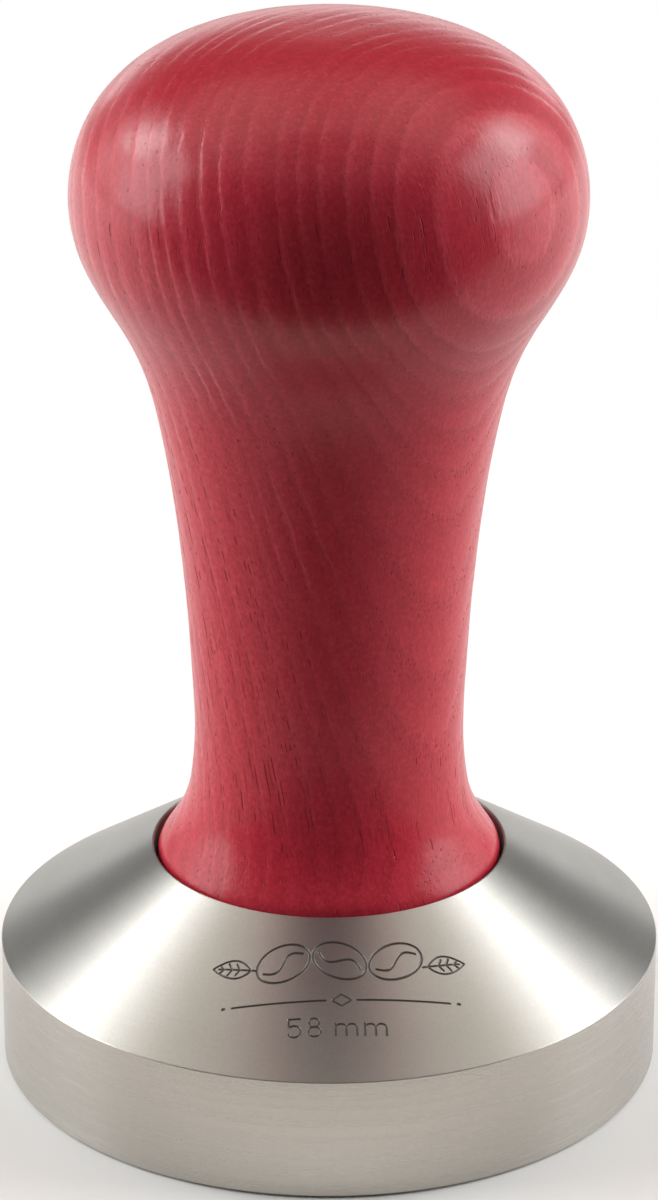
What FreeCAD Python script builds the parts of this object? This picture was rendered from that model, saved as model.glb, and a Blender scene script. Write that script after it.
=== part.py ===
import FreeCAD, Part

import math
import os

from FreeCAD import Vector as V

# Espresso tamper with a flat 58 mm stainless base and a turned, stained ash handle.
# Millimetres, +Z up. The origin is the centre of the flat tamping face, which the
# tamper stands on. The handle screws onto the base about +Z with a right-hand
# M8 thread, so the two come apart after 7.5 turns.

# ---- tamping base -------------------------------------------------------------
BASE_D = 58.0             # tamping face and rim, for a 58 mm filter basket
FACE_CHAMFER = 0.30       # edge break round the tamping face
RIM_H = 11.0              # height of the straight rim
CONE_TOP_Z = 19.7         # height where the cone meets the recess
EDGE_BREAK = 0.12         # light deburr on the turned edges
RECESS_D = 30.8           # recess that the handle's foot sits in
RECESS_FLOOR_Z = 17.2
RECESS_CORNER = 0.30      # tool radius in the recess corner, as a chamfer
TAP_MOUTH_D = 9.2         # countersink of the tapped hole
TAP_FLOOR_Z = 6.0         # end of the tapped hole's straight wall
DRILL_POINT_DEG = 118.0

# ---- M8 x 1.25 thread ---------------------------------------------------------
PITCH = 1.25
EXT_CREST_R = 3.95        # stud, outside
EXT_ROOT_R = 3.23         # stud, thread root
INT_CREST_R = 3.40        # tapped hole, inner edge of the thread
INT_ROOT_R = 4.06         # tapped hole, thread root
CREST_HALF = PITCH / 16   # half the flat on the stud's crest
FLANK_GAP = 0.06          # axial play on each flank
FLANK = math.tan(math.radians(30.0))

# ---- stud: headless socket set screw, M8 x 25 ---------------------------------
STUD_BOTTOM_Z = 8.0
STUD_L = 25.0
STUD_CHAMFER = 0.75
SOCKET_AF = 4.0           # hexagon socket across flats
SOCKET_DEPTH = 4.5
THREAD_START_Z = STUD_BOTTOM_Z - PITCH   # where every M8 helix in the part is in phase

# ---- threaded insert in the handle --------------------------------------------
INSERT_Z0 = 18.5
INSERT_L = 15.0
INSERT_CORE_R = 5.9
INSERT_CREST_R = 7.0
INSERT_PITCH = 3.0
INSERT_RIDGE_HALF = 0.80  # half width of the wood thread at the core
INSERT_CREST_HALF = 0.10
INSERT_SLOT_W = 1.6       # driver slot across the lower end
INSERT_SLOT_DEPTH = 2.0

# ---- seal washer --------------------------------------------------------------
WASHER_T = 0.80
WASHER_R = 14.3           # inside the flat of the handle's foot
WASHER_HOLE_R = 4.5

# ---- handle -------------------------------------------------------------------
FOOT_Z = RECESS_FLOOR_Z + WASHER_T       # the foot stands on the washer
FOOT_ROUND = 0.62         # rounding at the foot's lower edge
FOOT_R = 15.05            # widest part of the foot, inside the recess
FOOT_WIDEST_Z = 18.95
STEM = [                  # height, radius up the foot, neck and stem
    (19.70, 14.88), (20.60, 14.32), (21.80, 13.52), (24.00, 12.51), (27.00, 11.93),
    (31.00, 11.70), (36.00, 11.88), (42.00, 12.24), (48.00, 12.79),
    (54.00, 13.55), (59.00, 14.43), (63.50, 15.55), (67.50, 17.24),
    (71.00, 19.28), (74.50, 20.97),
]
KNOB_Z = 78.6             # height of the knob's widest circle
KNOB_R = 21.70
TOP_Z = 93.4              # overall height
DOME_P = 2.14             # roundness of the dome's shoulder
DOME_Q = 2.62
PILOT_R = 6.15            # hole that the insert cuts its thread into
PILOT_TOP_Z = 34.2
PILOT_MOUTH_R = 7.3
PILOT_MOUTH_DEPTH = 0.9

AXIS0, AXIS = V(0, 0, 0), V(0, 0, 1)


def turned(points):
    """Solid of revolution about Z from (radius, height) corners."""
    corners = [V(r, 0, z) for r, z in points]
    wire = Part.makePolygon(corners + [corners[0]])
    return Part.Face(wire).revolve(AXIS0, AXIS, 360)


def thread(r_in, r_out, half_in, half_out, z0, turns, pitch):
    """Right-hand helical ridge whose section is centred on height z0 at angle 0."""
    path = Part.makeLongHelix(pitch, pitch * turns, r_out, 0)
    if path.ShapeType != "Wire":
        path = Part.Wire(path.Edges)
    corners = [
        V(r_in, 0, -half_in), V(r_out, 0, -half_out),
        V(r_out, 0, half_out), V(r_in, 0, half_in),
    ]
    section = Part.makePolygon(corners + [corners[0]])
    ridge = path.makePipeShell([section], True, True)
    ridge.translate(V(0, 0, z0))
    return ridge


def m8_groove(z0, turns):
    """Cutting tool for the M8 internal thread, in phase with the stud."""
    inner = INT_CREST_R - 0.15
    half = lambda r: CREST_HALF + FLANK_GAP + (EXT_CREST_R - r) * FLANK
    return thread(inner, INT_ROOT_R, half(inner), half(INT_ROOT_R), z0, turns, PITCH)


def make_base():
    r = BASE_D / 2
    rr = RECESS_D / 2
    slope = (CONE_TOP_Z - RIM_H) / (r - rr)
    tip = INT_CREST_R / math.tan(math.radians(DRILL_POINT_DEG / 2))
    mouth = TAP_MOUTH_D / 2
    body = turned([
        (0, 0),
        (r - FACE_CHAMFER, 0),
        (r, FACE_CHAMFER),
        (r, RIM_H - EDGE_BREAK),
        (r - EDGE_BREAK, RIM_H + EDGE_BREAK * slope),
        (rr + EDGE_BREAK, CONE_TOP_Z - EDGE_BREAK * slope),
        (rr, CONE_TOP_Z - EDGE_BREAK * slope - EDGE_BREAK),
        (rr, RECESS_FLOOR_Z + RECESS_CORNER),
        (rr - RECESS_CORNER, RECESS_FLOOR_Z),
        (mouth, RECESS_FLOOR_Z),
        (INT_CREST_R, RECESS_FLOOR_Z - (mouth - INT_CREST_R)),
        (INT_CREST_R, TAP_FLOOR_Z),
        (0, TAP_FLOOR_Z - tip),
    ])
    turns = math.ceil((RECESS_FLOOR_Z + PITCH - THREAD_START_Z) / PITCH)
    return body.cut(m8_groove(THREAD_START_Z, turns))


def make_stud():
    z0, z1 = STUD_BOTTOM_Z, STUD_BOTTOM_Z + STUD_L
    c = STUD_CHAMFER
    end_r = EXT_CREST_R - c
    wide = EXT_CREST_R + 0.6
    turns = math.ceil((STUD_L + 2 * PITCH) / PITCH)
    inner = EXT_ROOT_R - 0.08
    ridge = thread(
        inner, EXT_CREST_R,
        CREST_HALF + (EXT_CREST_R - inner) * FLANK, CREST_HALF,
        THREAD_START_Z, turns, PITCH,
    )
    envelope = turned([
        (0, z0), (end_r, z0), (wide, z0 + c + 0.6),
        (wide, z1 - c - 0.6), (end_r, z1), (0, z1),
    ])
    core = turned([
        (0, z0), (end_r, z0), (EXT_ROOT_R, z0 + EXT_ROOT_R - end_r),
        (EXT_ROOT_R, z1 - EXT_ROOT_R + end_r), (end_r, z1), (0, z1),
    ])
    stud = core.fuse(ridge.common(envelope))
    # hexagon socket in the lower end, with the conical end that the drill leaves
    corner = SOCKET_AF / 2 / math.cos(math.radians(30))
    pts = [
        V(corner * math.cos(math.radians(60 * k)), corner * math.sin(math.radians(60 * k)), z0 - 0.5)
        for k in range(6)
    ]
    hexagon = Part.Face(Part.makePolygon(pts + [pts[0]])).extrude(V(0, 0, SOCKET_DEPTH + 0.5))
    point = turned([
        (0, z0 + SOCKET_DEPTH - 0.1), (SOCKET_AF / 2 - 0.05, z0 + SOCKET_DEPTH - 0.1),
        (SOCKET_AF / 2 - 0.05, z0 + SOCKET_DEPTH), (0, z0 + SOCKET_DEPTH + 1.1),
    ])
    return stud.cut(hexagon.fuse(point))


def make_insert():
    z0, z1 = INSERT_Z0, INSERT_Z0 + INSERT_L
    turns = math.ceil(INSERT_L / INSERT_PITCH) + 2
    inner = INSERT_CORE_R - 0.2
    ridge = thread(
        inner, INSERT_CREST_R, INSERT_RIDGE_HALF + 0.1, INSERT_CREST_HALF,
        z0 - INSERT_PITCH, turns, INSERT_PITCH,
    )
    wide = INSERT_CREST_R + 0.5
    envelope = turned([
        (0, z0 + 0.4), (INSERT_CORE_R, z0 + 0.4), (wide, z0 + 1.6),
        (wide, z1 - 3.2), (INSERT_CORE_R - 0.4, z1), (0, z1),
    ])
    core = turned([
        (0, z0), (INSERT_CORE_R - 0.2, z0), (INSERT_CORE_R, z0 + 0.2),
        (INSERT_CORE_R, z1 - 0.8), (INSERT_CORE_R - 0.6, z1), (0, z1),
    ])
    body = core.fuse(ridge.common(envelope))
    bore = turned([
        (0, z0 - 1), (4.3 + 1, z0 - 1), (INT_CREST_R, z0 + 0.9),
        (INT_CREST_R, z1 - 0.9), (4.3 + 1, z1 + 1), (0, z1 + 1),
    ])
    k = math.floor((z0 - PITCH - THREAD_START_Z) / PITCH)
    start = THREAD_START_Z + k * PITCH
    turns = math.ceil((z1 + PITCH - start) / PITCH)
    body = body.cut(bore).cut(m8_groove(start, turns))
    slot = Part.makeBox(4 * wide, INSERT_SLOT_W, INSERT_SLOT_DEPTH + 1,
                        V(-2 * wide, -INSERT_SLOT_W / 2, z0 - 1))
    return body.cut(slot)


def make_washer():
    z = RECESS_FLOOR_Z
    return turned([
        (WASHER_HOLE_R, z), (WASHER_R, z), (WASHER_R, z + WASHER_T), (WASHER_HOLE_R, z + WASHER_T),
    ])


def make_handle():
    # outline: foot round, one smooth curve over neck, stem and knob, ending level on the axis
    # the foot's rounding starts level and turns up through 65 degrees
    turn = math.radians(65)
    arc_r = FOOT_ROUND
    b = V(FOOT_R - 0.12, 0, FOOT_Z + arc_r * (1 - math.cos(turn)))
    c = V(FOOT_R, 0, FOOT_WIDEST_Z)
    centre = V(b.x - arc_r * math.sin(turn), 0, FOOT_Z + arc_r)
    a = V(centre.x, 0, FOOT_Z)
    mid = V(centre.x + arc_r * math.sin(turn / 2), 0, centre.z - arc_r * math.cos(turn / 2))
    foot = Part.Arc(a, mid, b).toShape()
    points = [b, c] + [V(r, 0, z) for z, r in STEM] + [V(KNOB_R, 0, KNOB_Z)]
    for t in (14, 27, 40, 52, 63, 73, 81, 86):
        s = math.radians(t)
        points.append(V(
            KNOB_R * math.cos(s) ** (2 / DOME_Q), 0,
            KNOB_Z + (TOP_Z - KNOB_Z) * math.sin(s) ** (2 / DOME_P),
        ))
    top = V(0, 0, TOP_Z)
    # the curve runs over the top and down the other side, so that it is level on the axis
    curve = Part.BSplineCurve()
    curve.interpolate(points + [top] + [V(-p.x, 0, p.z) for p in reversed(points)])
    curve.segment(curve.FirstParameter, curve.parameter(top))
    outline = [
        Part.makeLine(V(0, 0, FOOT_Z), a), foot, curve.toShape(),
        Part.makeLine(top, V(0, 0, FOOT_Z)),
    ]
    body = Part.Face(Part.Wire(outline)).revolve(AXIS0, AXIS, 360)
    tip = PILOT_R / math.tan(math.radians(DRILL_POINT_DEG / 2))
    pilot = turned([
        (0, FOOT_Z - 1), (PILOT_MOUTH_R, FOOT_Z - 1), (PILOT_MOUTH_R, FOOT_Z),
        (PILOT_R, FOOT_Z + PILOT_MOUTH_DEPTH), (PILOT_R, PILOT_TOP_Z), (0, PILOT_TOP_Z + tip),
    ])
    return body.cut(pilot)


def main():
    os.makedirs("parts", exist_ok=True)
    made = {
        "tamping_base": make_base(),
        "seal_washer": make_washer(),
        "handle": make_handle(),
        "threaded_insert": make_insert(),
        "threaded_stud": make_stud(),
    }
    for name, shape in made.items():
        if shape.ShapeType != "Solid":
            shape = shape.Solids[0] if len(shape.Solids) == 1 else shape
        box = shape.BoundBox
        print(
            name, shape.ShapeType, "valid" if shape.isValid() else "INVALID",
            "volume %.1f" % shape.Volume, "faces %d" % len(shape.Faces),
            "z %.2f..%.2f" % (box.ZMin, box.ZMax),
        )
        shape.exportStep("parts/%s.step" % name)
    return made


main()
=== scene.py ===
import math

import bpy
import numpy as np
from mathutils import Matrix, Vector
from mathutils.geometry import delaunay_2d_cdt


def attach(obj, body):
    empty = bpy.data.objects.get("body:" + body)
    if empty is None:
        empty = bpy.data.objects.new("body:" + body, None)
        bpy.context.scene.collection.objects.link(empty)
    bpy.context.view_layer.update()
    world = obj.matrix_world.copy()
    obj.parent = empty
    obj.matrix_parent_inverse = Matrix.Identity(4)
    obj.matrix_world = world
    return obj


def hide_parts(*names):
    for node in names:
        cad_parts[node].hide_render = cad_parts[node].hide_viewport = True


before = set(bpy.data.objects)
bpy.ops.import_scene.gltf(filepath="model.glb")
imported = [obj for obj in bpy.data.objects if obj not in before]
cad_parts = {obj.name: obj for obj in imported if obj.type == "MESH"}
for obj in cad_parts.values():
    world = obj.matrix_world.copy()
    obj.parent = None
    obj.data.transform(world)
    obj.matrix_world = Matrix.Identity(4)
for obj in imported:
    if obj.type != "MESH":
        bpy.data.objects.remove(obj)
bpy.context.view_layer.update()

# Espresso tamper. All shapes below are worked out in millimetres and written to
# the meshes in metres, in the row frame: +Z up, origin at the centre of the flat
# face, the front of the tamper towards -Y.

MM = 0.001
SEED = 5813


# ------------------------------------------------------------------ dimensions
BASE_R = 28.99             # a hair inside the nominal 29.0
RIM_H = 11.0
CONE_TOP_Z = 19.7
RECESS_R = 15.4
RECESS_Z = 17.2
FACE_EDGE = 0.30
BORE_R = 3.40
BORE_ROOT_R = 4.06
BORE_FLOOR_Z = 6.0
BORE_MOUTH_R = 4.6
PITCH = 1.25
THREAD_Z = 6.75           # height of the M8 groove's centre at angle 0

FOOT_Z = 18.0
FOOT_ROUND = 0.62
FOOT_R = 15.05
FOOT_WIDEST_Z = 18.95
STEM = [
    (19.70, 14.88), (20.60, 14.32), (21.80, 13.52), (24.00, 12.51), (27.00, 11.93),
    (31.00, 11.70), (36.00, 11.88), (42.00, 12.24), (48.00, 12.79),
    (54.00, 13.55), (59.00, 14.43), (63.50, 15.55), (67.50, 17.24),
    (71.00, 19.28), (74.50, 20.97),
]
KNOB_Z, KNOB_R, TOP_Z = 78.6, 21.70, 93.4
PILOT_R, PILOT_MOUTH_R, PILOT_MOUTH_DEPTH, PILOT_TOP_Z = 6.15, 7.3, 0.9, 34.2


# ------------------------------------------------------------------- utilities
def spline(points):
    """Natural cubic spline through (x, y) points over chord length: returns (function, length parameter at each point)."""
    p = np.array(points, float)
    t = np.r_[0, np.cumsum(np.hypot(*np.diff(p, axis=0).T))]
    n = len(t)
    h = np.diff(t)
    a = np.zeros((n, n))
    b = np.zeros((n, 2))
    a[0, 0] = a[-1, -1] = 1
    for i in range(1, n - 1):
        a[i, i - 1], a[i, i], a[i, i + 1] = h[i - 1], 2 * (h[i - 1] + h[i]), h[i]
        b[i] = 6 * ((p[i + 1] - p[i]) / h[i] - (p[i] - p[i - 1]) / h[i - 1])
    m = np.linalg.solve(a, b)

    def at(x):
        x = np.atleast_1d(np.asarray(x, float))
        k = np.clip(np.searchsorted(t, x, side="right") - 1, 0, n - 2)
        u, v = t[k + 1] - x, x - t[k]
        hk = h[k]
        return (
            (m[k].T * u**3 + m[k + 1].T * v**3) / (6 * hk)
            + (p[k].T / hk - m[k].T * hk / 6) * u
            + (p[k + 1].T / hk - m[k + 1].T * hk / 6) * v
        ).T

    return at, t


def smoothstep(a, b, x):
    t = np.clip((x - a) / (b - a), 0, 1)
    return t * t * (3 - 2 * t)


def early_wood(u):
    """1 in the open early wood of a ring, 0 in its dense late wood, for ring coordinates u."""
    f = u % 1.0
    rise = smoothstep(-0.16, 0.11, np.where(f > 0.84, f - 1.0, f))
    return np.where(f > 0.84, rise, np.minimum(rise, 1 - smoothstep(0.14, 0.80, f)))


class Shell:
    """Patches of faces, each with a normal for every face corner, welded by position when they are built."""

    def __init__(self):
        self.points, self.polys, self.norms, self.marks = [], [], [], []
        self.count = 0

    def patch(self, points, faces, normals, marks=None):
        """points (n, 3); faces (m, 3) or (m, 4) into them; normals for the points (n, 3) or for the corners (m, k, 3)."""
        points, faces = np.asarray(points, float), np.asarray(faces, int)
        normals = np.asarray(normals, float)
        if normals.ndim == 2:
            normals = normals[faces]
        if faces.shape[1] == 3:
            faces = np.concatenate([faces, np.full((len(faces), 1), -1 - self.count)], 1)
            normals = np.concatenate([normals, normals[:, :1] * 0 + (0, 0, 1)], 1)
        self.points.append(points)
        self.polys.append(faces + self.count)
        self.norms.append(normals)
        self.marks.append(np.zeros(len(faces)) if marks is None else np.asarray(marks, float))
        self.count += len(points)

    def build(self, name, materials, mark=None, point=None):
        points = np.concatenate(self.points)
        polys, norms, marks = map(np.concatenate, (self.polys, self.norms, self.marks))
        _, first, where = np.unique(np.round(points * 2e4).astype(np.int64), axis=0, return_index=True, return_inverse=True)
        where = where.reshape(-1)
        points = points[first]
        polys = np.where(polys < 0, -1, where[polys])
        faces, corners, kept = [], [], []
        for k, (f, n) in enumerate(zip(polys.tolist(), norms)):
            ids = f if f[3] >= 0 else f[:3]
            if len(set(ids)) == len(ids):
                faces.append(ids)
                corners.append(n[: len(ids)])
            else:
                keep = [i for i in range(len(ids)) if ids[i] != ids[i - 1]]
                if len(keep) < 3 or len(set(ids[i] for i in keep)) < len(keep):
                    continue
                faces.append([ids[i] for i in keep])
                corners.append(n[keep])
            kept.append(marks[k])
        me = bpy.data.meshes.new(name)
        me.from_pydata((points * MM).tolist(), [], faces)
        me.polygons.foreach_set("use_smooth", [True] * len(me.polygons))
        for m in materials:
            me.materials.append(m)
        if mark:
            att = me.attributes.new(mark, "FLOAT", "CORNER")
            att.data.foreach_set("value", np.repeat(np.array(kept, np.float32), [len(f) for f in faces]))
        for key, fn in (point or {}).items():
            att = me.attributes.new(key, "FLOAT", "POINT")
            att.data.foreach_set("value", np.asarray(fn(points), np.float32))
        flat = np.concatenate(corners)
        flat /= np.linalg.norm(flat, axis=1, keepdims=True)
        me.normals_split_custom_set(flat.tolist())
        me.update()
        ob = bpy.data.objects.new(name, me)
        bpy.context.scene.collection.objects.link(ob)
        return ob


def around(r, z, a):
    """Points at radius r, height z and angle a, which runs from the front (-Y) towards +X."""
    r, z, a = np.broadcast_arrays(np.asarray(r, float), np.asarray(z, float), np.asarray(a, float))
    return np.stack([r * np.sin(a), -r * np.cos(a), z], -1)


def lathe(shell, outline, angles):
    """Turns an outline of (r, z, nr, nz) rows, outward normals given, through the angles."""
    rows, angles = np.array(outline, float), np.asarray(angles, float)
    n, m = len(rows), len(angles)
    points = around(rows[:, :1], rows[:, 1:2], angles[None])
    normals = around(rows[:, 2:3], rows[:, 3:4], angles[None])
    i, j = np.meshgrid(np.arange(n - 1), np.arange(m - 1), indexing="ij")
    a = (i * m + j).reshape(-1)
    faces = np.stack([a, a + 1, a + m + 1, a + m], 1)
    shell.patch(points.reshape(-1, 3), faces, normals.reshape(-1, 3))


def circle(n):
    """n + 1 angles round the axis, the last one exactly the first."""
    return np.r_[2 * math.pi * np.arange(n) / n, 0.0]


def zipper(shell, outer, inner, normal):
    """Triangles between two closed rings (r, z, count) in one plane, the outer one with more points or as many."""
    (r0, z0, n), (r1, z1, m) = outer, inner
    points = np.concatenate([around(r0, z0, circle(n)[:-1]), around(r1, z1, circle(m)[:-1])])
    faces, i, j = [], 0, 0
    while i < n or j < m:
        if j >= m or (i < n and (i + 0.5) / n <= (j + 0.5) / m):
            faces.append([i % n, (i + 1) % n, n + j % m])
            i += 1
        else:
            faces.append([i % n, n + (j + 1) % m, n + j % m])
            j += 1
    shell.patch(points, faces, np.tile(np.array(normal, float), (len(points), 1)))


def arc_rows(cr, cz, radius, a0, a1, steps):
    """Rows (r, z, nr, nz) on a circle arc about (cr, cz). Angles in degrees from the +r direction."""
    rows = []
    for k in range(steps + 1):
        a = math.radians(a0 + (a1 - a0) * k / steps)
        rows.append((cr + radius * math.cos(a), cz + radius * math.sin(a), math.cos(a), math.sin(a)))
    return rows


def straight(r0, z0, r1, z1, nr, nz, steps):
    return [(r0 + (r1 - r0) * k / steps, z0 + (z1 - z0) * k / steps, nr, nz) for k in range(steps + 1)]


# ------------------------------------------------------------------- materials
def new_material(name):
    m = bpy.data.materials.new(name)
    m.use_nodes = True
    nt = m.node_tree
    nt.nodes.clear()
    out = nt.nodes.new("ShaderNodeOutputMaterial")
    bsdf = nt.nodes.new("ShaderNodeBsdfPrincipled")
    nt.links.new(bsdf.outputs["BSDF"], out.inputs["Surface"])
    return m, nt, bsdf


class Graph:
    """Short names for the nodes used below."""

    def __init__(self, nt):
        self.nt = nt

    def node(self, kind, **props):
        n = self.nt.nodes.new(kind)
        for k, v in props.items():
            setattr(n, k, v)
        return n

    def link(self, a, b):
        self.nt.links.new(a, b)

    def feed(self, socket, value):
        if isinstance(value, bpy.types.NodeSocket):
            self.link(value, socket)
        else:
            socket.default_value = value

    def math(self, op, a, b=0.0, c=0.0, clamp=False):
        n = self.node("ShaderNodeMath", operation=op, use_clamp=clamp)
        for i, v in enumerate((a, b, c)):
            if i < len(n.inputs):
                self.feed(n.inputs[i], v)
        return n.outputs[0]

    def vec(self, op, a, b=(0, 0, 0)):
        n = self.node("ShaderNodeVectorMath", operation=op)
        self.feed(n.inputs[0], a)
        if op != "LENGTH":
            self.feed(n.inputs[1], b)
        return n.outputs["Value"] if op in ("LENGTH", "DOT_PRODUCT") else n.outputs["Vector"]

    def combine(self, x, y, z):
        n = self.node("ShaderNodeCombineXYZ")
        for i, v in enumerate((x, y, z)):
            self.feed(n.inputs[i], v)
        return n.outputs[0]

    def split(self, v):
        n = self.node("ShaderNodeSeparateXYZ")
        self.feed(n.inputs[0], v)
        return n.outputs

    def object_mm(self):
        """Position in the row frame, in millimetres."""
        return self.vec("MULTIPLY", self.node("ShaderNodeTexCoord").outputs["Object"], (1000, 1000, 1000))

    def noise(self, vector, scale, detail=2.0, rough=0.5, dims="3D", w=None, distortion=0.0):
        n = self.node("ShaderNodeTexNoise", noise_dimensions=dims)
        if dims in ("3D", "2D", "4D"):
            self.feed(n.inputs["Vector"], vector)
        if w is not None:
            self.feed(n.inputs["W"], w)
        n.inputs["Scale"].default_value = scale
        n.inputs["Detail"].default_value = detail
        n.inputs["Roughness"].default_value = rough
        n.inputs["Distortion"].default_value = distortion
        return n.outputs["Fac"]

    def ramp(self, fac, stops, interpolation="LINEAR"):
        n = self.node("ShaderNodeValToRGB")
        n.color_ramp.interpolation = interpolation
        el = n.color_ramp.elements
        while len(el) < len(stops):
            el.new(0.5)
        for e, (pos, col) in zip(el, stops):
            e.position = pos
            e.color = (col, col, col, 1) if isinstance(col, (int, float)) else (*col, 1)
        self.feed(n.inputs["Fac"], fac)
        return n.outputs["Color"]

    def mix(self, fac, a, b, blend="MIX"):
        n = self.node("ShaderNodeMix", data_type="RGBA", blend_type=blend)
        self.feed(n.inputs[0], fac)
        for socket, v in ((n.inputs[6], a), (n.inputs[7], b)):
            self.feed(socket, (*v, 1) if isinstance(v, tuple) and len(v) == 3 else v)
        return n.outputs[2]

    def attribute(self, name):
        return self.node("ShaderNodeAttribute", attribute_name=name).outputs["Fac"]

    def bump(self, height, distance_mm, strength=1.0, normal=None):
        n = self.node("ShaderNodeBump")
        n.inputs["Strength"].default_value = strength
        n.inputs["Distance"].default_value = distance_mm * MM
        self.feed(n.inputs["Height"], height)
        if normal is not None:
            self.link(normal, n.inputs["Normal"])
        return n.outputs["Normal"]


# The blank: the fibres lean 13 degrees, and the pith is off to the front right,
# so the rings show as loops on the knob there and as near parallel lines to its left.
LEAN = math.radians(12.5)
TOWARDS_PITH = np.array([0.755, -0.656, 0.0])
GRAIN = math.cos(LEAN) * np.array([0, 0, 1.0]) - math.sin(LEAN) * TOWARDS_PITH
ACROSS = math.cos(LEAN) * TOWARDS_PITH + math.sin(LEAN) * np.array([0, 0, 1.0])
ASIDE = np.cross(GRAIN, ACROSS)
PITH = TOWARDS_PITH * 52.0 + np.array([0, 0, 81.0])
RING_MM = 1.86


def ring_field(p):
    """Growth-ring coordinate of points p (n, 3), in rings: whole numbers are the ring boundaries."""
    q = p - PITH
    along = q @ GRAIN
    q = q - along[:, None] * GRAIN
    rho = np.linalg.norm(q, axis=1)
    side = q @ ASIDE
    wave = (
        0.30 * np.sin(side / 8.1 + along / 37.0 + 0.7)
        + 0.22 * np.sin(along / 23.0 - side / 10.7 + 2.1)
        + 0.10 * np.sin(side / 3.1 + along / 13.0 + rho / 7.0)
        + 0.05 * np.sin(along / 6.3 + side / 3.3 + 1.3)
    )
    u = (rho + wave) / RING_MM + 0.23
    return u + 0.20 * np.sin(0.83 * u + 1.1) + 0.12 * np.sin(1.9 * u + 0.4)


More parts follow.
